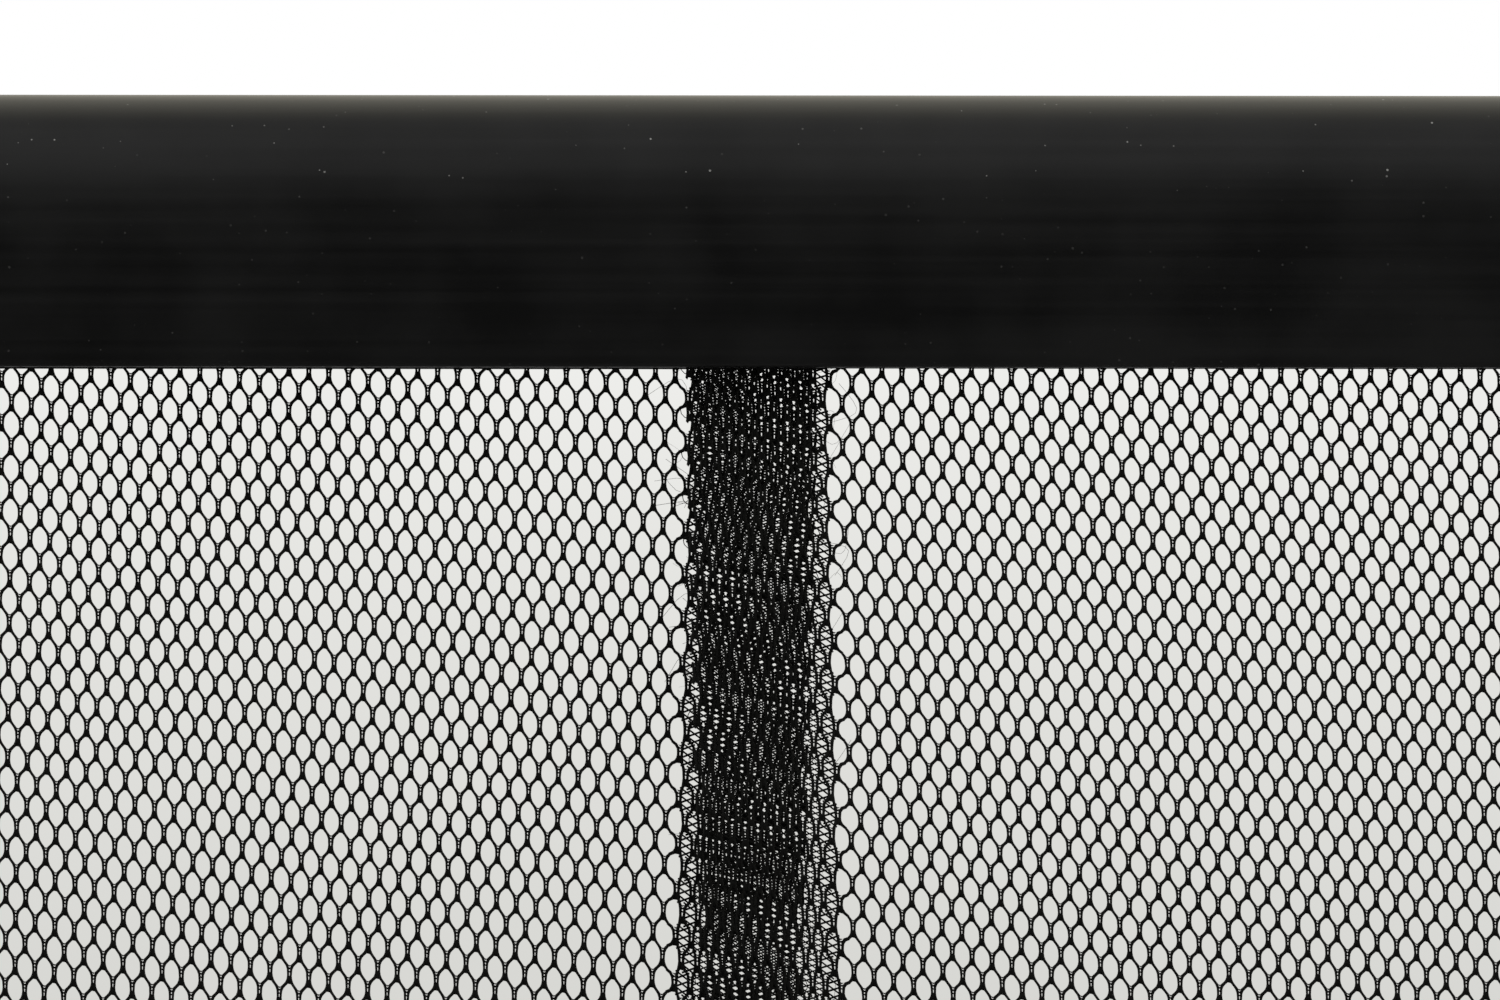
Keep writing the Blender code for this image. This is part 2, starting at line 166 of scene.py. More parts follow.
# Floor. A plain pale studio floor, a little below the curtain's hems, with a faint
# mottle so that it doesn't look like a flat card.
def material_for(name, roughness, metallic=0.0):
    """A new material: its tree, its shader, and object coordinates in metres."""
    made = bpy.data.materials.new(name)
    made.use_nodes = True
    shader = made.node_tree.nodes["Principled BSDF"]
    shader.inputs["Roughness"].default_value = roughness
    shader.inputs["Metallic"].default_value = metallic
    place = node(made.node_tree, "ShaderNodeTexCoord").outputs["Object"]
    return made, made.node_tree, shader, place


def drive(tree, shader, socket, factor, stops):
    """Lets a ramp over a factor set one of the shader's inputs."""
    tree.links.new(ramp(tree, factor, stops), shader.inputs[socket])


def built(name, build, material):
    """A new object made from a bmesh, shaded smooth and with one material."""
    mesh = bpy.data.meshes.new(name)
    build.to_mesh(mesh)
    build.free()
    mesh.shade_smooth()
    mesh.materials.append(material)
    made = bpy.data.objects.new(name, mesh)
    bpy.context.scene.collection.objects.link(made)
    return made


FLOOR_RADIUS = 30.0
FLOOR_DROP = 60 * MM
FLOOR_COLORS = [(0.3, (0.785, 0.785, 0.762)), (0.7, (0.795, 0.795, 0.772))]
painted_floor, tree, shader, place = material_for("painted_floor", 0.7)
mottle = node(tree, "ShaderNodeTexNoise", {"Vector": place, "Scale": 3.0, "Detail": 4.0}).outputs["Fac"]
drive(tree, shader, "Base Color", mottle, FLOOR_COLORS)
floor_build = bmesh.new()
bmesh.ops.create_circle(floor_build, cap_ends=True, radius=FLOOR_RADIUS, segments=96)
bmesh.ops.translate(floor_build, verts=floor_build.verts, vec=(0, 0, cad_low.z - FLOOR_DROP))
floor = built("floor", floor_build, painted_floor)
floor.visible_glossy = False


# Mounting tape. Grey closed-cell foam, sticky on both faces, which holds the rail
# to the wall or the door frame.
def repaint(node_name, material):
    """Gives a CAD node that stays in view its own material."""
    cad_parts[node_name].data.materials.clear()
    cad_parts[node_name].data.materials.append(material)


def emboss(tree, shader, height, strength, distance):
    """Gives the shader fine relief from a pattern of heights."""
    relief = node(tree, "ShaderNodeBump", {"Height": height, "Strength": strength, "Distance": distance})
    tree.links.new(relief.outputs[0], shader.inputs["Normal"])


FOAM_CELL = 0.35 * MM
foam, tree, shader, place = material_for("closed_cell_foam", 0.92)
cells = node(tree, "ShaderNodeTexVoronoi", {"Vector": place, "Scale": 1 / FOAM_CELL}).outputs["Distance"]
drive(tree, shader, "Base Color", cells, [(0.0, (0.22, 0.22, 0.21)), (0.5, (0.33, 0.33, 0.32))])
emboss(tree, shader, cells, 0.4, 0.05 * MM)
repaint("mounting_tape", foam)


# Rear rail. Black anodised aluminium, extruded with two open channels, so it has
# fine die lines along its whole length and a dull metallic sheen.
def node_group(name, tree_kind, inputs, outputs):
    """An empty node group with its named inputs, some with a default, and outputs."""
    group = bpy.data.node_groups.new(name, tree_kind)
    for label, kind, *default in inputs:
        socket = group.interface.new_socket(label, in_out="INPUT", socket_type=kind)
        if default:
            socket.default_value = default[0]
    for label, kind in outputs:
        group.interface.new_socket(label, in_out="OUTPUT", socket_type=kind)
    entry = group.nodes.new("NodeGroupInput").outputs
    leave = group.nodes.new("NodeGroupOutput").inputs
    return group, entry, leave


draw_lines, entry, leave = node_group(
    "Draw lines along the rail", "ShaderNodeTree",
    [("Vector", "NodeSocketVector"), ("Line Pitch", "NodeSocketFloat", 0.6 * MM)],
    [("Line", "NodeSocketFloat")],
)
squeezed = node(draw_lines, "ShaderNodeVectorMath", {
    0: entry["Vector"], 1: (0.01, 1.0, 1.0)}, operation="MULTIPLY").outputs[0]
fineness = calc(draw_lines, "DIVIDE", 1.0, entry["Line Pitch"])
streaks = node(draw_lines, "ShaderNodeTexNoise", {"Vector": squeezed, "Scale": fineness, "Detail": 3.0})
draw_lines.links.new(streaks.outputs["Fac"], leave["Line"])


def placed_group(tree, group, **values):
    """The output of a node group placed in a material, with its inputs by name."""
    inputs = {key.replace("_", " "): value for key, value in values.items()}
    return node(tree, "ShaderNodeGroup", inputs, node_tree=group).outputs[0]


anodised, tree, shader, place = material_for("black_anodised_aluminium", 0.42, 0.85)
lines = placed_group(tree, draw_lines, Vector=place, Line_Pitch=0.5 * MM)
drive(tree, shader, "Base Color", lines, [(0.3, (0.016, 0.016, 0.017)), (0.7, (0.026, 0.026, 0.027))])
drive(tree, shader, "Roughness", lines, [(0.3, 0.38), (0.7, 0.48)])
emboss(tree, shader, lines, 0.15, 0.02 * MM)
repaint("rear_rail", anodised)


# Front cover. Black satin PVC, extruded with a rolled upper edge and clipped over
# the rail. It carries faint extrusion lines and a little pale dust.
dust_specks, entry, leave = node_group(
    "Dust specks", "ShaderNodeTree",
    [("Vector", "NodeSocketVector"), ("Spacing", "NodeSocketFloat", 1.1 * MM),
     ("Share", "NodeSocketFloat", 0.11)],
    [("Speck", "NodeSocketFloat")],
)
spread = calc(dust_specks, "DIVIDE", 1.0, entry["Spacing"])
scatter = node(dust_specks, "ShaderNodeTexVoronoi", {"Vector": entry["Vector"], "Scale": spread})
chance = node(dust_specks, "ShaderNodeSeparateColor", {0: scatter.outputs["Color"]}).outputs
reach = calc(dust_specks, "MULTIPLY", entry["Share"], chance[0])
inside = calc(dust_specks, "LESS_THAN", scatter.outputs["Distance"], reach)
paleness = calc(dust_specks, "POWER", chance[1], 2.5)
dust_specks.links.new(calc(dust_specks, "MULTIPLY", inside, paleness), leave["Speck"])

COVER_BLACK = (0.0040, 0.0040, 0.0040)
COVER_LINE = (0.0092, 0.0092, 0.0092)
DUST = (0.22, 0.22, 0.21)
satin_black, tree, shader, place = material_for("satin_black_pvc", 0.30)
lines = placed_group(tree, draw_lines, Vector=place, Line_Pitch=1.1 * MM)
specks = placed_group(tree, dust_specks, Vector=place)
handled = node(tree, "ShaderNodeTexNoise", {"Vector": place, "Scale": 70.0, "Detail": 4.0}).outputs["Fac"]
film = calc(tree, "MULTIPLY_ADD", handled, 0.62, calc(tree, "MULTIPLY", lines, 0.38))
skin = ramp(tree, film, [(0.38, COVER_BLACK), (0.62, COVER_LINE)])
dusty = node(tree, "ShaderNodeMix", {"Factor": specks, "A": skin, "B": (*DUST, 1.0)}, data_type="RGBA")
tree.links.new(dusty.outputs["Result"], shader.inputs["Base Color"])
drive(tree, shader, "Roughness", film, [(0.35, 0.285), (0.65, 0.325)])
emboss(tree, shader, lines, 0.035, 0.02 * MM)

CORNER_MERGE = 0.002 * MM
SHARP_ANGLE = 28.0


def smooth_copy(node_name, name, material):
    """The CAD piece again with its corners merged, so that its curves shade smoothly."""
    build = bmesh.new()
    build.from_mesh(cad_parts[node_name].data)
    bmesh.ops.remove_doubles(build, verts=build.verts, dist=CORNER_MERGE)
    bmesh.ops.join_triangles(
        build, faces=build.faces, angle_face_threshold=0.01, angle_shape_threshold=math.pi)
    made = built(name, build, material)
    made.data.set_sharp_from_angle(angle=math.radians(SHARP_ANGLE))
    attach(made, "root")
    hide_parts(node_name)


smooth_copy("front_cover", "cover_profile", satin_black)


# End caps. Black injection-moulded plastic, pressed into the rail's ends, with a
# finer and duller grain than the cover's.
moulded_black, tree, shader, place = material_for("moulded_black_plastic", 0.42)
grain = node(tree, "ShaderNodeTexNoise", {"Vector": place, "Scale": 2600.0, "Detail": 2.0}).outputs["Fac"]
drive(tree, shader, "Base Color", grain, [(0.3, (0.0050, 0.0050, 0.0049)), (0.7, (0.0070, 0.0070, 0.0068))])
emboss(tree, shader, grain, 0.25, 0.02 * MM)
for side in ("left", "right"):
    smooth_copy("end_cap_" + side, "moulded_cap_" + side, moulded_black)


# Header bars. Thin white plastic strips that slide along the rail's channels, each
# inside the sleeve at the head of its net strip.
header_white, tree, shader, place = material_for("white_header_plastic", 0.45)
lines = placed_group(tree, draw_lines, Vector=place, Line_Pitch=0.8 * MM)
drive(tree, shader, "Base Color", lines, [(0.3, (0.66, 0.66, 0.64)), (0.7, (0.74, 0.74, 0.72))])
for number in STRIPS:
    repaint("header_bar_%d" % number, header_white)


# Weight bars. Flat zinc-plated steel, cut to length and slid into the foot hems,
# where they pull the net straight.
zinc, tree, shader, place = material_for("zinc_plated_steel", 0.35, 1.0)
lines = placed_group(tree, draw_lines, Vector=place, Line_Pitch=0.4 * MM)
spangle = node(tree, "ShaderNodeTexVoronoi", {"Vector": place, "Scale": 220.0}).outputs["Distance"]
tone = calc(tree, "MULTIPLY_ADD", spangle, 0.3, lines)
drive(tree, shader, "Base Color", tone, [(0.3, (0.50, 0.51, 0.52)), (0.8, (0.62, 0.63, 0.64))])
drive(tree, shader, "Roughness", lines, [(0.3, 0.30), (0.7, 0.42)])
for number in STRIPS:
    repaint("weight_bar_%d" % number, zinc)


# Net strips, their hang. Each strip slides in its channel, is drawn in a little
# below the rail by its own tension, and waves softly between rail and weight.
WAIST = 4.0 * MM
WAIST_SLOPE = 0.028
WAIST_START = 6 * MM
FOOT_RELEASE = 160 * MM
WAVE_DEPTH = 3.4 * MM
WAVE_EASE = 260 * MM
WAVE_LENGTHS = (173 * MM, 97 * MM)
WAVE_TWIST = (0.45, -0.8)
TWIST_HEIGHT = 350 * MM
WAVE_PHASE = 9.0
SLIDE = {1: 0.0, 2: -0.2 * MM, 3: -0.8 * MM, 4: 0.0}
rail_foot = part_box("front_cover")[0].z
hem_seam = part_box("weight_bar_1")[1].z


def hang(mesh, number):
    """Moves a flat piece of strip, at rest in its plane, to the way it hangs."""
    flat = np.empty(len(mesh.vertices) * 3, np.float32)
    mesh.vertices.foreach_get("co", flat)
    flat = flat.reshape(-1, 3).astype(float)
    low, high = strip_box[number]
    middle, half = (low.x + high.x) / 2, (high.x - low.x) / 2
    below = np.maximum(rail_foot - flat[:, 2], 0.0)
    above = np.clip((flat[:, 2] - hem_seam) / FOOT_RELEASE, 0.0, 1.0)
    release = above * above * (3 - 2 * above)
    settled = below - WAIST_START * (1 - np.exp(-below / WAIST_START))
    pull = WAIST * np.tanh(WAIST_SLOPE * settled / WAIST) * release
    ease = np.clip(below / WAVE_EASE, 0.0, 1.0)
    ease = ease * ease * (3 - 2 * ease) * release
    x, z = flat[:, 0], flat[:, 2]
    wave = np.zeros(len(flat))
    for length, twist in zip(WAVE_LENGTHS, WAVE_TWIST):
        wave += 0.5 * np.sin(2 * math.pi * x / length + twist * z / TWIST_HEIGHT + WAVE_PHASE * length)
    flat[:, 0] = x + SLIDE[number] - pull * (x - middle) / half
    flat[:, 1] += WAVE_DEPTH * ease * wave
    mesh.vertices.foreach_set("co", flat.astype(np.float32).ravel())
    mesh.update()


# Net strips, their yarn. Black polyester multifilament, spun-dyed and matt with a
# soft sheen, about 0.3 mm thick.
YARN_DARK = (0.0036, 0.0036, 0.0032)
YARN_PALE = (0.0085, 0.0085, 0.0075)
yarn, tree, shader, place = material_for("black_polyester_yarn", 0.62)
shader.inputs["Specular IOR Level"].default_value = 0.12
fibre = node(tree, "ShaderNodeTexNoise", {"Vector": place, "Scale": 9000.0, "Detail": 2.0}).outputs["Fac"]
drift = node(tree, "ShaderNodeTexNoise", {"Vector": place, "Scale": 160.0, "Detail": 1.0}).outputs["Fac"]
tone = calc(tree, "MULTIPLY_ADD", drift, 0.35, calc(tree, "MULTIPLY", fibre, 0.65))
drive(tree, shader, "Base Color", tone, [(0.35, YARN_DARK), (0.65, YARN_PALE)])
emboss(tree, shader, fibre, 0.3, 0.02 * MM)


# Net strips, their stitches. A stitch is a pillar of two strands, tied across in
# two places and knotted at its foot, whose strands part above and below it.
COURSE = 2.06 * MM
NET_PITCH = 1.89 * MM
LIMB_BEND = 0.79 * MM
BEND_SHARE = 0.36
KNOT_HALF = 0.08 * MM
LAID_IN_DEPTH = 0.09 * MM
LAID_IN_RISE = 1.08 * MM


def tube(build, points, radii, sides, start_along=None, end_along=None):
    """A yarn: a tube through the points, with a radius at each and its ends capped or met."""
    rings = []
    for index, (point, radius) in enumerate(zip(points, radii)):
        along = points[min(index + 1, len(points) - 1)] - points[max(index - 1, 0)]
        if index == 0 and start_along:
            along = start_along
        if index == len(points) - 1 and end_along:
            along = end_along
        across = along.cross(Vector((0, 1, 0))).normalized()
        out = across.cross(along.normalized())
        ring = []
        for corner in range(sides):
            angle = 2 * math.pi * corner / sides
            offset = radius * (math.cos(angle) * out + math.sin(angle) * across)
            ring.append(build.verts.new(point + offset))
        rings.append(ring)
    for ring, beyond in zip(rings, rings[1:]):
        for corner in range(sides):
            after = (corner + 1) % sides
            build.faces.new((ring[corner], ring[after], beyond[after], beyond[corner]))
    if not start_along:
        build.faces.new(list(reversed(rings[0])))
    if not end_along:
        build.faces.new(rings[-1])


def stitch(name, gauge, strand, reach_left, reach_right, limb, foot, laid_in=None):
    """One stitch about its pillar's middle. A laid-in yarn zigzags to its right."""
    build = bmesh.new()
    half = COURSE / 2
    for side, reach in ((-1, reach_left), (1, reach_right)):
        part = reach - gauge
        rows = (
            (reach, -half, 0.90 * limb), (gauge + BEND_SHARE * part, -LIMB_BEND, limb),
            (gauge + 0.05 * part, -0.46 * MM, 1.06 * strand), (0.92 * gauge, -0.14 * MM, 0.94 * strand),
            (1.04 * gauge, 0.16 * MM, 0.94 * strand), (gauge + 0.05 * part, 0.46 * MM, 1.06 * strand),
            (gauge + BEND_SHARE * part, LIMB_BEND, limb), (reach, half, 0.90 * limb),
        )
        points = [Vector((side * x, 0, z)) for x, z, radius in rows]
        spread = side * 2 * reach
        rise = 2 * (half - LIMB_BEND) / (1 - BEND_SHARE)
        tube(build, points, [radius for x, z, radius in rows], 5,
             Vector((-spread, 0, rise)), Vector((spread, 0, rise)))
    ties = (
        (0.56 * MM, 1.3 * gauge, 0.085 * MM, 0.05 * MM), (0.20 * MM, 1.0 * gauge, 0.075 * MM, -0.03 * MM),
    )
    for z, span, radius, sag in ties:
        tie = [Vector((-span, 0, z + sag)), Vector((0, -0.03 * MM, z - sag)), Vector((span, 0, z + sag))]
        tube(build, tie, [radius] * 3, 4)
    knots = (
        ((0, -0.10 * MM), (foot * 0.36, -0.40 * MM), (foot, -0.88 * MM), (0, -0.86 * MM),
         (-foot, -0.88 * MM), (-foot * 0.36, -0.40 * MM)),
        ((0, 0.66 * MM), (-foot * 0.62, 0.83 * MM), (0, 0.81 * MM), (foot * 0.62, 0.83 * MM)),
    )
    for outline in knots:
        front = [build.verts.new((x, -KNOT_HALF, z)) for x, z in outline]
        back = [build.verts.new((x, KNOT_HALF, z)) for x, z in outline]
        build.faces.new(front)
        build.faces.new(list(reversed(back)))
        for corner in range(len(outline)):
            after = (corner + 1) % len(outline)
            build.faces.new((front[after], front[corner], back[corner], back[after]))
    if laid_in:
        cell, radius, turns = laid_in
        near, far = gauge * 0.5, cell - gauge * 0.5
        for phase, depth in ((0, LAID_IN_DEPTH), (1, -LAID_IN_DEPTH)):
            zigzag = []
            for step in range(turns + 1):
                x = near if (step + phase) % 2 else far
                zigzag.append(Vector((x, depth, LAID_IN_RISE * (1 - 2 * step / turns))))
            for start, end in zip(zigzag, zigzag[1:]):
                tube(build, [start, end], [radius] * 2, 4)
    bmesh.ops.recalc_face_normals(build, faces=build.faces)
    return built(name, build, yarn)


SELVEDGE_PITCH = 1.23 * MM
LADDER_WIDTH = 1.52 * MM
BORDER_CELL = 1.85 * MM
BORDER_SLACK = 0.06 * MM
PILLAR_GAUGE = 0.144 * MM
PILLAR_STRAND = 0.124 * MM
NET_LIMB = 0.160 * MM
CLOSE_GAUGE = 0.180 * MM
CLOSE_STRAND = 0.151 * MM
LAID_IN = 0.070 * MM
BORDER_STRAND = 0.15 * MM
BORDER_LIMB = 0.17 * MM
NET_FOOT = 0.29 * MM
CLOSE_FOOT = 0.30 * MM
BORDER_FOOT = 0.34 * MM
net_reach = NET_PITCH / 4
close_reach = SELVEDGE_PITCH / 4
ladder_reach = LADDER_WIDTH - SELVEDGE_PITCH / 2 - close_reach
border_reach = BORDER_CELL - SELVEDGE_PITCH / 2 - net_reach + BORDER_SLACK
net_stitch = stitch("net_stitch", PILLAR_GAUGE, PILLAR_STRAND, net_reach, net_reach, NET_LIMB, NET_FOOT)
close_sizes = (CLOSE_GAUGE, CLOSE_STRAND, close_reach, close_reach, CLOSE_STRAND, CLOSE_FOOT)
close_stitch = stitch("close_stitch", *close_sizes, (SELVEDGE_PITCH, LAID_IN, 4))
ladder_stitch = stitch("ladder_stitch", *close_sizes, (LADDER_WIDTH, 1.25 * LAID_IN, 3))
border_sizes = (BORDER_LIMB, BORDER_FOOT)
even_border = stitch("even_border", CLOSE_GAUGE, BORDER_STRAND, close_reach, border_reach, *border_sizes)
odd_border = stitch("odd_border", CLOSE_GAUGE, BORDER_STRAND, ladder_reach, close_reach, *border_sizes)


def thin_yarn(name, line, radius, sides):
    """A single yarn of even thickness through the points of a line."""
    build = bmesh.new()
    tube(build, line, [radius] * len(line), sides)
    bmesh.ops.recalc_face_normals(build, faces=build.faces)
    return built(name, build, yarn)


PICOT_RADIUS = 0.042 * MM
picot_line = [Vector((x * MM, 0.03 * MM, z * MM)) for x, z in (
    (-0.15, -0.62), (-0.48, -0.58), (-0.78, -0.34), (-0.86, 0.02),
    (-0.70, 0.34), (-0.42, 0.50), (-0.12, 0.72))]
picot = thin_yarn("picot", picot_line, PICOT_RADIUS, 4)


# Net strips, their knitting. The stitches sit on a staggered lattice whose rows
# slope and stretch as the net was finished, with small wanderings in every yarn.
knitting, entry, leave = node_group("Knitted lattice", "GeometryNodeTree", [
    ("Stitch", "NodeSocketObject"), ("Wales", "NodeSocketInt"), ("Courses", "NodeSocketInt"),
    ("Wale Pitch", "NodeSocketFloat"), ("Course Height", "NodeSocketFloat"), ("Stagger", "NodeSocketFloat"),
    ("First Wale", "NodeSocketFloat"), ("First Course", "NodeSocketFloat"), ("Edge", "NodeSocketFloat"),
    ("Side", "NodeSocketFloat"), ("Depth", "NodeSocketFloat"), ("Row Slope", "NodeSocketFloat"),
    ("Stretch", "NodeSocketFloat"), ("Upper Limit", "NodeSocketFloat"), ("Lower Limit", "NodeSocketFloat"),
    ("Wander", "NodeSocketFloat"), ("Seed", "NodeSocketFloat"), ("Yarn", "NodeSocketMaterial"),
], [("Geometry", "NodeSocketGeometry")])
index = node(knitting, "GeometryNodeInputIndex").outputs[0]
total = calc(knitting, "MULTIPLY", entry["Wales"], entry["Courses"])
course = calc(knitting, "FLOOR", calc(knitting, "DIVIDE", calc(knitting, "ADD", index, 0.5), entry["Wales"]))
wale = calc(knitting, "SUBTRACT", index, calc(knitting, "MULTIPLY", course, entry["Wales"]))
shift = calc(knitting, "MULTIPLY", calc(knitting, "MODULO", course, 2.0), entry["Stagger"])
place_across = calc(knitting, "ADD", wale, shift)
local_x = calc(knitting, "MULTIPLY_ADD", place_across, entry["Wale Pitch"], entry["First Wale"])
place_down = calc(knitting, "MULTIPLY", course, entry["Course Height"])
local_z = calc(knitting, "SUBTRACT", entry["First Course"], place_down)
spot = node(knitting, "ShaderNodeCombineXYZ", {"X": local_x, "Z": local_z}).outputs[0]
real_x = calc(knitting, "MULTIPLY", local_x, entry["Side"])
real_z = calc(knitting, "SUBTRACT", local_z, calc(knitting, "MULTIPLY", real_x, entry["Row Slope"]))
kept = node(knitting, "FunctionNodeBooleanMath", {
    0: calc(knitting, "LESS_THAN", real_z, entry["Upper Limit"]),
    1: calc(knitting, "GREATER_THAN", real_z, entry["Lower Limit"])}, operation="AND").outputs[0]
points = node(knitting, "GeometryNodePoints", {"Count": total, "Position": spot}).outputs[0]
form = node(knitting, "GeometryNodeObjectInfo", {"Object": entry["Stitch"], "As Instance": True})
copies = node(knitting, "GeometryNodeInstanceOnPoints", {
    "Points": points, "Selection": kept, "Instance": form.outputs["Geometry"]})
solid = node(knitting, "GeometryNodeRealizeInstances", {0: copies.outputs[0]}).outputs[0]
welded = node(knitting, "GeometryNodeMergeByDistance", {"Geometry": solid, "Distance": 0.004 * MM}).outputs[0]
there = node(knitting, "GeometryNodeInputPosition").outputs[0]
here = node(knitting, "ShaderNodeSeparateXYZ", {0: there}).outputs
turned_x = calc(knitting, "MULTIPLY", here["X"], entry["Side"])
sloped_z = calc(knitting, "SUBTRACT", here["Z"], calc(knitting, "MULTIPLY", turned_x, entry["Row Slope"]))
drop = calc(knitting, "MAXIMUM", calc(knitting, "SUBTRACT", entry["Upper Limit"], sloped_z), 0.0)
longer = calc(knitting, "MULTIPLY", calc(knitting, "MULTIPLY", drop, drop), entry["Stretch"])
hung_at = node(knitting, "ShaderNodeCombineXYZ", {
    "X": calc(knitting, "ADD", turned_x, entry["Edge"]),
    "Y": calc(knitting, "ADD", here["Y"], entry["Depth"]),
    "Z": calc(knitting, "SUBTRACT", sloped_z, longer)}).outputs[0]
moved = node(knitting, "GeometryNodeSetPosition", {"Geometry": welded, "Position": hung_at}).outputs[0]
now = node(knitting, "GeometryNodeInputPosition").outputs[0]
swirl = node(knitting, "ShaderNodeTexNoise", {
    "Vector": now, "W": entry["Seed"], "Scale": 420.0, "Detail": 3.0}, noise_dimensions="4D").outputs["Color"]
centred = node(knitting, "ShaderNodeVectorMath", {
    0: swirl, 1: (0.5, 0.5, 0.5)}, operation="SUBTRACT").outputs[0]
wandering = node(knitting, "ShaderNodeVectorMath", {
    0: centred, "Scale": entry["Wander"]}, operation="SCALE").outputs[0]
loose = node(knitting, "GeometryNodeSetPosition", {"Geometry": moved, "Offset": wandering}).outputs[0]
mirrored_side = calc(knitting, "LESS_THAN", entry["Side"], 0.0)
flipped = node(knitting, "GeometryNodeFlipFaces", {"Mesh": loose, "Selection": mirrored_side}).outputs[0]
dyed = node(knitting, "GeometryNodeSetMaterial", {"Geometry": flipped, "Material": entry["Yarn"]}).outputs[0]
knitting.links.new(dyed, leave["Geometry"])


# Net strips, their fuzz. A few filaments as fine as hair have worked loose along the
# cut edges and curl out over the net.
FUZZ_COUNT = 34
FUZZ_INSET = 0.4 * MM
FUZZ_MIDDLE = -42 * MM
FUZZ_SPREAD = (5.0 * MM, 0.8 * MM, 64 * MM)
FIBRE_RADIUS = 0.020 * MM
FIBRE_CURL = (2.2 * MM, 0.25 * MM)
fibre_line = [Vector((
    FIBRE_CURL[0] * math.sin(0.5 * step), FIBRE_CURL[1] * math.sin(1.1 * step), (0.62 * step - 2.2) * MM))
    for step in range(8)]
fibre_form = thin_yarn("loose_fibre", fibre_line, FIBRE_RADIUS, 3)
fuzz, entry, leave = node_group("Loose fibres", "GeometryNodeTree", [
    ("Fibre", "NodeSocketObject"), ("Count", "NodeSocketInt"), ("Middle", "NodeSocketVector"),
    ("Spread", "NodeSocketVector"), ("Seed", "NodeSocketInt"), ("Yarn", "NodeSocketMaterial"),
], [("Geometry", "NodeSocketGeometry")])
place = node(fuzz, "FunctionNodeRandomValue", {
    0: (-0.5, -0.5, -0.5), 1: (0.5, 0.5, 0.5), "Seed": entry["Seed"]}, data_type="FLOAT_VECTOR").outputs[0]
placed = node(fuzz, "ShaderNodeVectorMath", {
    0: place, 1: entry["Spread"], 2: entry["Middle"]}, operation="MULTIPLY_ADD").outputs[0]
turn = node(fuzz, "FunctionNodeRandomValue", {
    0: (-0.4, -1.6, -0.4), 1: (0.4, 1.6, 0.4), "Seed": entry["Seed"]}, data_type="FLOAT_VECTOR").outputs[0]
growth = node(fuzz, "FunctionNodeRandomValue", {
    2: 0.35, 3: 1.1, "Seed": entry["Seed"]}, data_type="FLOAT").outputs[1]
points = node(fuzz, "GeometryNodePoints", {"Count": entry["Count"], "Position": placed}).outputs[0]
form = node(fuzz, "GeometryNodeObjectInfo", {"Object": entry["Fibre"], "As Instance": True})
copies = node(fuzz, "GeometryNodeInstanceOnPoints", {
    "Points": points, "Instance": form.outputs["Geometry"], "Rotation": turn, "Scale": growth})
solid = node(fuzz, "GeometryNodeRealizeInstances", {0: copies.outputs[0]}).outputs[0]
dyed = node(fuzz, "GeometryNodeSetMaterial", {"Geometry": solid, "Material": entry["Yarn"]}).outputs[0]
fuzz.links.new(dyed, leave["Geometry"])


# Net strips, the knitted stretch. Round the middle of the rail, the second and third
# strips are laid stitch by stitch, from the cut edge over the ladder to the open net.
def grown(name, tree, values):
    """The plain mesh that a tree grows with these values for its inputs."""
    made = bpy.data.objects.new(name, bpy.data.meshes.new(name))
    bpy.context.scene.collection.objects.link(made)
    modifier = made.modifiers.new(name, "NODES")
    modifier.node_group = tree
    for item in tree.interface.items_tree:
        if item.in_out == "INPUT" and item.name in values:
            modifier[item.identifier] = values[item.name]
    bpy.context.view_layer.update()
    mesh = bpy.data.meshes.new_from_object(made.evaluated_get(bpy.context.evaluated_depsgraph_get()))
    made.modifiers.remove(modifier)
    made.data = mesh
    mesh.name = name
    return made


def joined(name, pieces, material):
    """One object with the meshes of several, which are removed."""
    build = bmesh.new()
    for piece in pieces:
        build.from_mesh(piece.data)
        bpy.data.objects.remove(piece, do_unlink=True)
    return built(name, build, material)


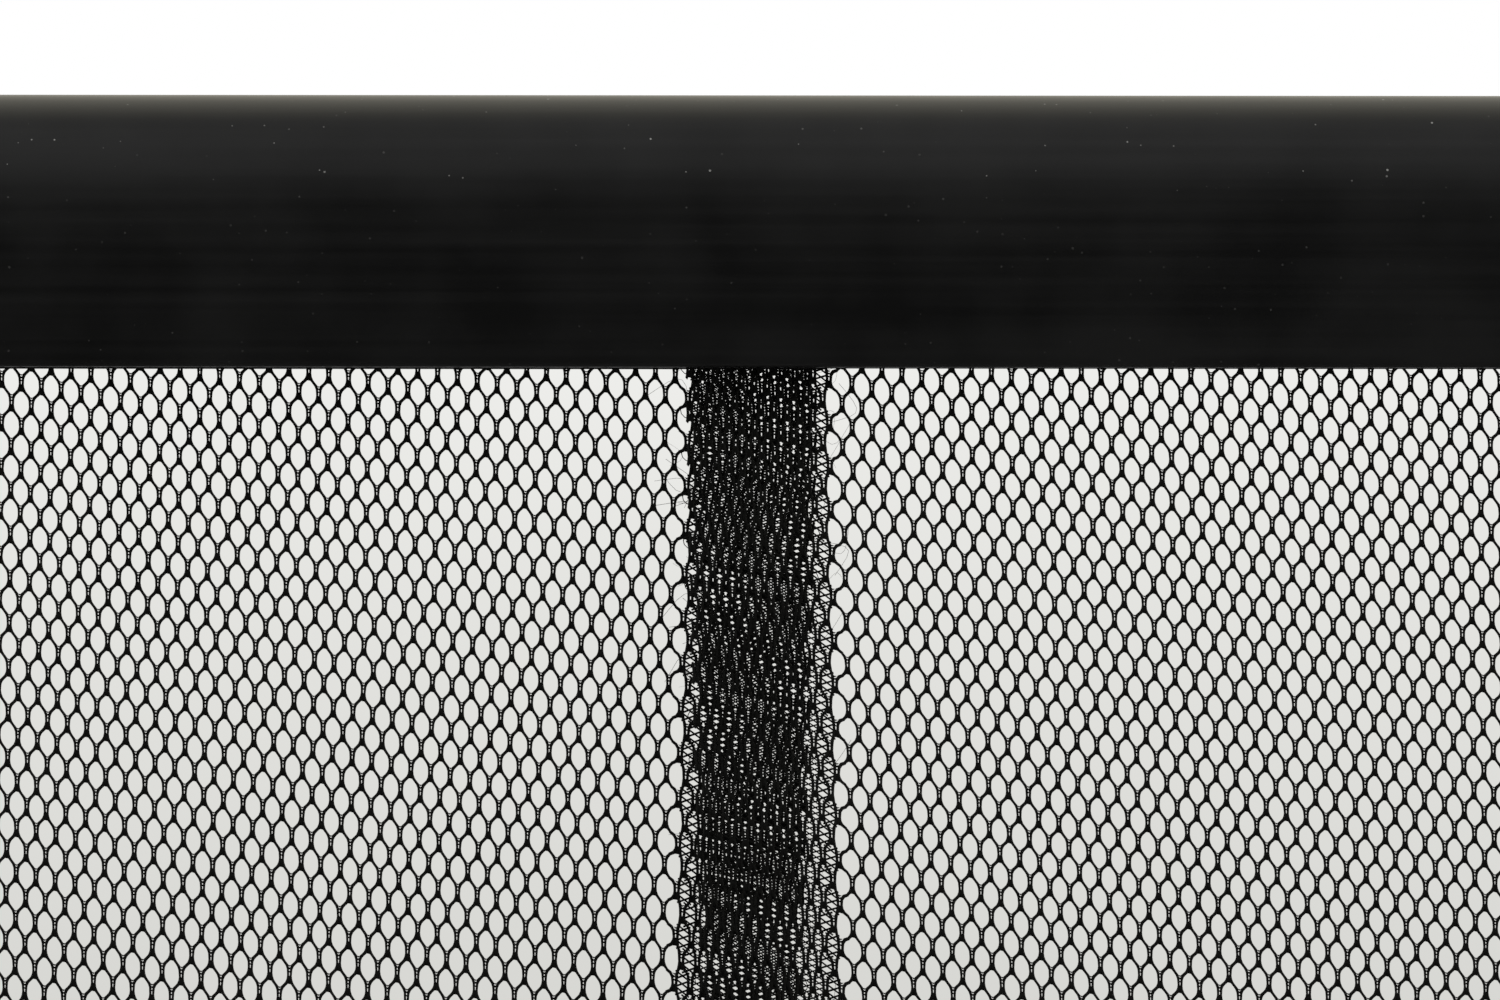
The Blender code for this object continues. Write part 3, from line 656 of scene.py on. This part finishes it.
WINDOW_REACH = 76 * MM
WINDOW_FOOT = -79 * MM
KNIT_HEAD = -9.9 * MM
KNIT_RISE = 20 * COURSE
COURSE_COUNT = 66
EDGE_INSET = 1.0 * MM
NET_WANDER = 0.14 * MM
CLOSE_WANDER = 0.20 * MM
KNIT = {  # per strip: side the net lies on, close wales, row slope, stretch, lowering of the rows
    2: (-1, 9, 0.185, 0.60, 0.0),
    3: (1, 10, 0.231, 0.10, 1.0 * MM),
}
knit_pieces = {number: [] for number in STRIPS}
for number, (side, close_wales, slope, stretch, lowering) in KNIT.items():
    low, high = strip_box[number]
    edge = high.x if side < 0 else low.x
    last_close = EDGE_INSET + (close_wales - 1) * SELVEDGE_PITCH
    border = last_close + LADDER_WIDTH
    net_start = border - SELVEDGE_PITCH / 2 + BORDER_CELL + NET_PITCH / 2
    wales = int((WINDOW_REACH + abs(edge) - net_start) / NET_PITCH) + 1
    inner_wales = wales // 2
    outer_start = net_start + inner_wales * NET_PITCH
    top = KNIT_HEAD + KNIT_RISE - lowering
    shared = {
        "Edge": edge, "Side": float(side), "Depth": strip_plane[number], "Row Slope": slope,
        "Stretch": stretch, "Upper Limit": KNIT_HEAD, "Lower Limit": WINDOW_FOOT,
        "Seed": float(number), "Yarn": yarn,
    }
    made = {}
    for label, form, count, pitch, start, stagger, every, head in (
        ("close", close_stitch, close_wales - 1, SELVEDGE_PITCH, EDGE_INSET, -0.5, 1, top),
        ("ladder", ladder_stitch, 1, SELVEDGE_PITCH, last_close, -0.5, 1, top),
        ("even_border", even_border, 1, SELVEDGE_PITCH, border, 0.0, 2, top),
        ("odd_border", odd_border, 1, SELVEDGE_PITCH, border - SELVEDGE_PITCH / 2, 0.0, 2, top - COURSE),
        ("inner", net_stitch, inner_wales, NET_PITCH, net_start, -0.5, 1, top),
        ("outer", net_stitch, wales - inner_wales, NET_PITCH, outer_start, -0.5, 1, top),
        ("picots", picot, 1, SELVEDGE_PITCH, EDGE_INSET - SELVEDGE_PITCH / 2, 0.0, 2, top - COURSE),
    ):
        made[label] = grown("strip_%d_net_%s" % (number, label), knitting, {
            **shared, "Stitch": form, "Wales": count, "Courses": COURSE_COUNT // every, "Wale Pitch": pitch,
            "Course Height": COURSE * every, "First Wale": start, "First Course": head, "Stagger": stagger,
            "Wander": NET_WANDER if form is net_stitch else CLOSE_WANDER})
    made["fuzz"] = grown("strip_%d_fuzz" % number, fuzz, {
        "Fibre": fibre_form, "Count": FUZZ_COUNT, "Spread": FUZZ_SPREAD, "Seed": number, "Yarn": yarn,
        "Middle": (edge + side * FUZZ_INSET, strip_plane[number], FUZZ_MIDDLE)})
    dense = [made[label] for label in ("close", "ladder", "even_border", "odd_border", "picots", "fuzz")]
    selvedge = joined("strip_%d_selvedge" % number, dense, yarn)
    knit_pieces[number] = [selvedge, made["inner"], made["outer"]]
    for piece in knit_pieces[number]:
        hang(piece.data, number)

for form in (net_stitch, close_stitch, ladder_stitch, even_border, odd_border, picot, fibre_form):
    bpy.data.objects.remove(form, do_unlink=True)


# Net strips, their plain stretches. Outside the close view the same knitting is two
# faces a yarn's depth apart, on which the material draws yarns and leaves holes open.
hex_net, entry, leave = node_group(
    "Hexagonal net", "ShaderNodeTree",
    [("Vector", "NodeSocketVector"), ("Wale Pitch", "NodeSocketFloat", NET_PITCH),
     ("Course Height", "NodeSocketFloat", COURSE), ("Pillar Width", "NodeSocketFloat", 0.40 * MM),
     ("Limb Width", "NodeSocketFloat", 0.18 * MM), ("Rounding", "NodeSocketFloat", 0.7 * MM),
     ("Rung Width", "NodeSocketFloat", 0.0)],
    [("Yarn", "NodeSocketFloat")],
)
cloth = node(hex_net, "ShaderNodeSeparateXYZ", {0: entry["Vector"]}).outputs
across, down = cloth["X"], cloth["Y"]
tall = calc(hex_net, "MULTIPLY", entry["Course Height"], 2.0)
half_pitch = calc(hex_net, "MULTIPLY", entry["Wale Pitch"], 0.5)
rise = calc(hex_net, "MULTIPLY", entry["Course Height"], 1 / 3)
half_pitch_squared = calc(hex_net, "POWER", half_pitch, 2.0)
limb = calc(hex_net, "SQRT", calc(hex_net, "ADD", half_pitch_squared, calc(hex_net, "POWER", rise, 2.0)))
lean_x = calc(hex_net, "DIVIDE", rise, limb)
lean_z = calc(hex_net, "DIVIDE", half_pitch, limb)
corner = calc(hex_net, "MULTIPLY_ADD", half_pitch, lean_x, calc(hex_net, "MULTIPLY", rise, lean_z))
side_limit = calc(hex_net, "SUBTRACT", half_pitch, calc(hex_net, "MULTIPLY", entry["Pillar Width"], 0.5))
limb_limit = calc(hex_net, "SUBTRACT", corner, calc(hex_net, "MULTIPLY", entry["Limb Width"], 0.5))
covers = []
for offset in (0.0, 0.5):
    wales_in = calc(hex_net, "ADD", calc(hex_net, "DIVIDE", across, entry["Wale Pitch"]), offset)
    cell_x = calc(hex_net, "SUBTRACT", calc(hex_net, "FRACT", wales_in), 0.5)
    courses_up = calc(hex_net, "ADD", calc(hex_net, "DIVIDE", down, tall), offset)
    cell_z = calc(hex_net, "SUBTRACT", calc(hex_net, "FRACT", courses_up), 0.5)
    far_x = calc(hex_net, "MULTIPLY", calc(hex_net, "ABSOLUTE", cell_x), entry["Wale Pitch"])
    far_z = calc(hex_net, "MULTIPLY", calc(hex_net, "ABSOLUTE", cell_z), tall)
    leaning = calc(hex_net, "MULTIPLY_ADD", far_x, lean_x, calc(hex_net, "MULTIPLY", far_z, lean_z))
    covers.append(calc(hex_net, "SMOOTH_MAX", calc(hex_net, "SUBTRACT", far_x, side_limit),
                       calc(hex_net, "SUBTRACT", leaning, limb_limit), entry["Rounding"]))
lattice = calc(hex_net, "GREATER_THAN", calc(hex_net, "MINIMUM", *covers), 0.0)
rung_gap = calc(hex_net, "MULTIPLY", entry["Course Height"], 0.25)
swing = calc(hex_net, "PINGPONG", across, calc(hex_net, "MULTIPLY", entry["Wale Pitch"], 0.25))
swung = calc(hex_net, "MULTIPLY_ADD", swing, 0.9, down)
rung_place = calc(hex_net, "SUBTRACT", calc(hex_net, "FRACT", calc(hex_net, "DIVIDE", swung, rung_gap)), 0.5)
from_rung = calc(hex_net, "MULTIPLY", calc(hex_net, "ABSOLUTE", rung_place), rung_gap)
rung = calc(hex_net, "LESS_THAN", from_rung, calc(hex_net, "MULTIPLY", entry["Rung Width"], 0.5))
hex_net.links.new(calc(hex_net, "MAXIMUM", lattice, rung), leave["Yarn"])

SELVEDGE_BAND = 12.6 * MM
YARN_DEPTH = 0.18 * MM
SHEET_CELL_X = 10 * MM
SHEET_CELL_Z = 13 * MM
strip_width = strip_box[1][1].x - strip_box[1][0].x
strip_length = strip_box[1][1].z - strip_box[1][0].z
net_sheet, tree, shader, place = material_for("black_net_sheet", 0.62)
shader.inputs["Specular IOR Level"].default_value = 0.18
flat = node(tree, "ShaderNodeMapping", {
    "Vector": node(tree, "ShaderNodeUVMap").outputs[0], "Scale": (strip_width, strip_length, 1.0)}).outputs[0]
open_net = placed_group(tree, hex_net, Vector=flat)
close_net = placed_group(tree, hex_net, Vector=flat, Wale_Pitch=SELVEDGE_PITCH, Pillar_Width=0.72 * MM,
                        Limb_Width=0.32 * MM, Rounding=0.25 * MM, Rung_Width=0.20 * MM)
inward = node(tree, "ShaderNodeSeparateXYZ", {0: flat}).outputs["X"]
from_edge = calc(tree, "MINIMUM", inward, calc(tree, "SUBTRACT", strip_width, inward))
in_band = calc(tree, "LESS_THAN", from_edge, SELVEDGE_BAND)
cover = node(tree, "ShaderNodeMix", {"Factor": in_band, "A": open_net, "B": close_net}, data_type="FLOAT")
tree.links.new(cover.outputs["Result"], shader.inputs["Alpha"])
fibre = node(tree, "ShaderNodeTexNoise", {"Vector": flat, "Scale": 160.0, "Detail": 3.0}).outputs["Fac"]
drive(tree, shader, "Base Color", fibre, [(0.35, YARN_DARK), (0.65, YARN_PALE)])


def spaced(low, high, cell, extra=()):
    """Evenly spaced places from low to high, with the extra places among them."""
    steps = max(1, round((high - low) / cell))
    places = [low + (high - low) * step / steps for step in range(steps + 1)]
    return sorted([p for p in places if all(abs(p - e) > cell / 3 for e in extra)] + list(extra))


def plain_sheet(name, number, window, depth):
    """One face of the strip from its sleeve to its hem, less the knitted window."""
    low, high = strip_box[number]
    extra_x = [x for x in window[:2] if low.x < x < high.x] if window else []
    extra_z = [window[2]] if window else []
    xs = spaced(low.x, high.x, SHEET_CELL_X, extra_x)
    zs = spaced(hem_seam, KNIT_HEAD, SHEET_CELL_Z, extra_z)
    build = bmesh.new()
    flat_cloth = build.loops.layers.uv.new("flat_cloth")
    grid = [[build.verts.new((x, strip_plane[number] + depth, z)) for x in xs] for z in zs]
    for row in range(len(zs) - 1):
        for column in range(len(xs) - 1):
            x, z = (xs[column] + xs[column + 1]) / 2, (zs[row] + zs[row + 1]) / 2
            if window and window[0] < x < window[1] and z > window[2]:
                continue
            below, above = grid[row], grid[row + 1]
            face = build.faces.new((below[column], below[column + 1], above[column + 1], above[column]))
            for corner in face.loops:
                at = corner.vert.co
                corner[flat_cloth].uv = ((at.x - low.x) / strip_width, (at.z - low.z) / strip_length)
    bmesh.ops.delete(build, geom=[v for v in build.verts if not v.link_faces], context="VERTS")
    made = built(name, build, net_sheet)
    hang(made.data, number)
    return made


# Head sleeves and foot hems. A folded band of dense black tape is sewn round each
# header bar and each weight bar, with its two edges lock-stitched over the net.
TAPE_HALF = 0.25 * MM
TAPE_CREASE = 50.0
TAPE_STEP = 4 * MM
TAPE_PUCKER = 0.12 * MM
FOLD_GAP = 0.36 * MM
POCKET_GAP = 0.65 * MM
SEAM_TAIL = 3.4 * MM
woven_tape, tree, shader, place = material_for("woven_black_tape", 0.72)
ribs = node(tree, "ShaderNodeTexWave", {
    "Vector": place, "Scale": 260.0, "Distortion": 0.6}, bands_direction="X").outputs["Fac"]
rows = node(tree, "ShaderNodeTexWave", {
    "Vector": place, "Scale": 320.0, "Distortion": 0.6}, bands_direction="Z").outputs["Fac"]
weave = calc(tree, "MULTIPLY", ribs, rows)
drive(tree, shader, "Base Color", weave, [(0.0, (0.0045, 0.0045, 0.0042)), (0.8, (0.012, 0.012, 0.011))])
emboss(tree, shader, weave, 0.5, 0.08 * MM)


def pocket(name, number, bar, seam_above):
    """A folded band round a bar: one closed ribbon section swept across the strip."""
    low, high = strip_box[number]
    bar_low, bar_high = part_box(bar)
    turn = 1 if seam_above else -1
    middle = (bar_low.z + bar_high.z) / 2
    deep = (bar_high.y - bar_low.y) / 2 + POCKET_GAP
    tall = (bar_high.z - bar_low.z) / 2 + POCKET_GAP
    side = [(FOLD_GAP, tall + SEAM_TAIL), (FOLD_GAP, tall + 0.9 * MM), (0.8 * deep, tall - 0.3 * MM),
            (deep, tall - 1.6 * MM), (deep, -tall + 1.3 * MM), (0.72 * deep, -tall + 0.35 * MM), (0.0, -tall)]
    line = side + [(-depth, rise) for depth, rise in reversed(side[:-1])]
    outer, inner = [], []
    for index, (depth, rise) in enumerate(line):
        before, after = line[max(index - 1, 0)], line[min(index + 1, len(line) - 1)]
        run = Vector((after[0] - before[0], after[1] - before[1])).normalized()
        outward = Vector((-run.y, run.x)) * TAPE_HALF
        outer.append((depth + outward.x, rise + outward.y))
        inner.append((depth - outward.x, rise - outward.y))
    section = outer + list(reversed(inner))
    build = bmesh.new()
    rings = []
    for x in spaced(low.x, high.x, TAPE_STEP):
        swell = 1 + TAPE_PUCKER * math.sin(x * 210 + number) * math.sin(x * 47) / deep
        rings.append([build.verts.new((x, strip_plane[number] + depth * swell, middle + turn * rise))
                      for depth, rise in section])
    for ring, beyond in zip(rings, rings[1:]):
        for corner in range(len(section)):
            after = (corner + 1) % len(section)
            build.faces.new((ring[corner], ring[after], beyond[after], beyond[corner]))
    for ring in (rings[0], rings[-1]):
        for corner in range(len(line) - 1):
            last = len(section) - 1
            build.faces.new((ring[corner], ring[corner + 1], ring[last - corner - 1], ring[last - corner]))
    bmesh.ops.recalc_face_normals(build, faces=build.faces)
    made = built(name, build, woven_tape)
    made.data.set_sharp_from_angle(angle=math.radians(TAPE_CREASE))
    return made


# Seams. The tape's edges are lock-stitched through the net with black thread, one
# row below each header bar and one above each weight bar, alike on both faces.
STITCH_PITCH = 3.0 * MM
THREAD_RADIUS = 0.17 * MM
SEAM_INSET = 1.3 * MM
UNEVENNESS = 0.10 * MM
thread, tree, shader, place = material_for("black_sewing_thread", 0.5)
twist = node(tree, "ShaderNodeTexWave", {
    "Vector": place, "Scale": 420.0}, bands_direction="DIAGONAL").outputs["Fac"]
drive(tree, shader, "Base Color", twist, [(0.2, (0.006, 0.006, 0.006)), (0.8, (0.020, 0.020, 0.019))])
emboss(tree, shader, twist, 0.4, 0.04 * MM)
stitch_line = [Vector((x * MM, y * MM, 0)) for x, y in (
    (-1.38, 0.16), (-1.10, -0.04), (-0.5, -0.12), (0.5, -0.12), (1.10, -0.04), (1.38, 0.16))]
lock_stitch = thin_yarn("lock_stitch", stitch_line, THREAD_RADIUS, 6)
seam_row, entry, leave = node_group("Row of lock stitches", "GeometryNodeTree", [
    ("Stitch", "NodeSocketObject"), ("Count", "NodeSocketInt"), ("Pitch", "NodeSocketFloat"),
    ("Start", "NodeSocketVector"), ("Face", "NodeSocketFloat"), ("Unevenness", "NodeSocketFloat"),
    ("Seed", "NodeSocketInt"), ("Thread", "NodeSocketMaterial"),
], [("Geometry", "NodeSocketGeometry")])
run = calc(seam_row, "MULTIPLY", node(seam_row, "GeometryNodeInputIndex").outputs[0], entry["Pitch"])
rise = node(seam_row, "FunctionNodeRandomValue", {
    2: -1.0, 3: 1.0, "Seed": entry["Seed"]}, data_type="FLOAT").outputs[1]
lift = calc(seam_row, "MULTIPLY", rise, entry["Unevenness"])
step = node(seam_row, "ShaderNodeCombineXYZ", {"X": run, "Z": lift}).outputs[0]
spot = node(seam_row, "ShaderNodeVectorMath", {0: step, 1: entry["Start"]}, operation="ADD").outputs[0]
points = node(seam_row, "GeometryNodePoints", {"Count": entry["Count"], "Position": spot}).outputs[0]
form = node(seam_row, "GeometryNodeObjectInfo", {"Object": entry["Stitch"], "As Instance": True})
turn = node(seam_row, "ShaderNodeCombineXYZ", {"Z": entry["Face"]}).outputs[0]
copies = node(seam_row, "GeometryNodeInstanceOnPoints", {
    "Points": points, "Instance": form.outputs["Geometry"], "Rotation": turn})
solid = node(seam_row, "GeometryNodeRealizeInstances", {0: copies.outputs[0]}).outputs[0]
dyed = node(seam_row, "GeometryNodeSetMaterial", {"Geometry": solid, "Material": entry["Thread"]}).outputs[0]
seam_row.links.new(dyed, leave["Geometry"])


def seams(number):
    """The four rows of lock stitches on one strip: head and foot, front and back."""
    low, high = strip_box[number]
    bars = ("header_bar_%d" % number, -1), ("weight_bar_%d" % number, 1)
    rows = []
    for bar, turned in bars:
        bar_low, bar_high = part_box(bar)
        away = (bar_high.z - bar_low.z) / 2 + POCKET_GAP + SEAM_TAIL - SEAM_INSET
        height = (bar_low.z + bar_high.z) / 2 + turned * away
        for face, angle in ((-1, 0.0), (1, math.pi)):
            start = (low.x + STITCH_PITCH / 2, strip_plane[number] + face * (FOLD_GAP + TAPE_HALF), height)
            rows.append(grown("seam_%d_%d" % (number, len(rows)), seam_row, {
                "Stitch": lock_stitch, "Count": int((high.x - low.x) / STITCH_PITCH), "Pitch": STITCH_PITCH,
                "Start": start, "Face": angle, "Unevenness": UNEVENNESS, "Seed": number * 4 + len(rows),
                "Thread": thread}))
    return joined("seams_%d" % number, rows, thread)


# Net strips, put together. A whole strip is its knitted stretch, its two plain faces,
# its sleeve, its hem and its seams, each attached to the root in place of the CAD strip.
windows = {  # per strip: left, right and lower limit of the knitted stretch, which is open at the cut edge
    1: None, 2: (-WINDOW_REACH, math.inf, WINDOW_FOOT), 3: (-math.inf, WINDOW_REACH, WINDOW_FOOT), 4: None,
}
for number in STRIPS:
    sheet = plain_sheet("net_sheet_%d" % number, number, windows[number], -YARN_DEPTH / 2)
    back = plain_sheet("net_back_%d" % number, number, windows[number], YARN_DEPTH / 2)
    sleeve = pocket("head_sleeve_%d" % number, number, "header_bar_%d" % number, False)
    hem = pocket("foot_hem_%d" % number, number, "weight_bar_%d" % number, True)
    parts = knit_pieces[number] + [back, sleeve, hem, seams(number)]
    for piece in [sheet] + parts:
        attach(piece, "root")
    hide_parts("net_strip_%d" % number)
    area = strip_width * (KNIT_HEAD - hem_seam)
    if windows[number]:
        area -= (WINDOW_REACH + abs(strip_box[2][1].x)) * (KNIT_HEAD - windows[number][2])

bpy.data.objects.remove(lock_stitch, do_unlink=True)
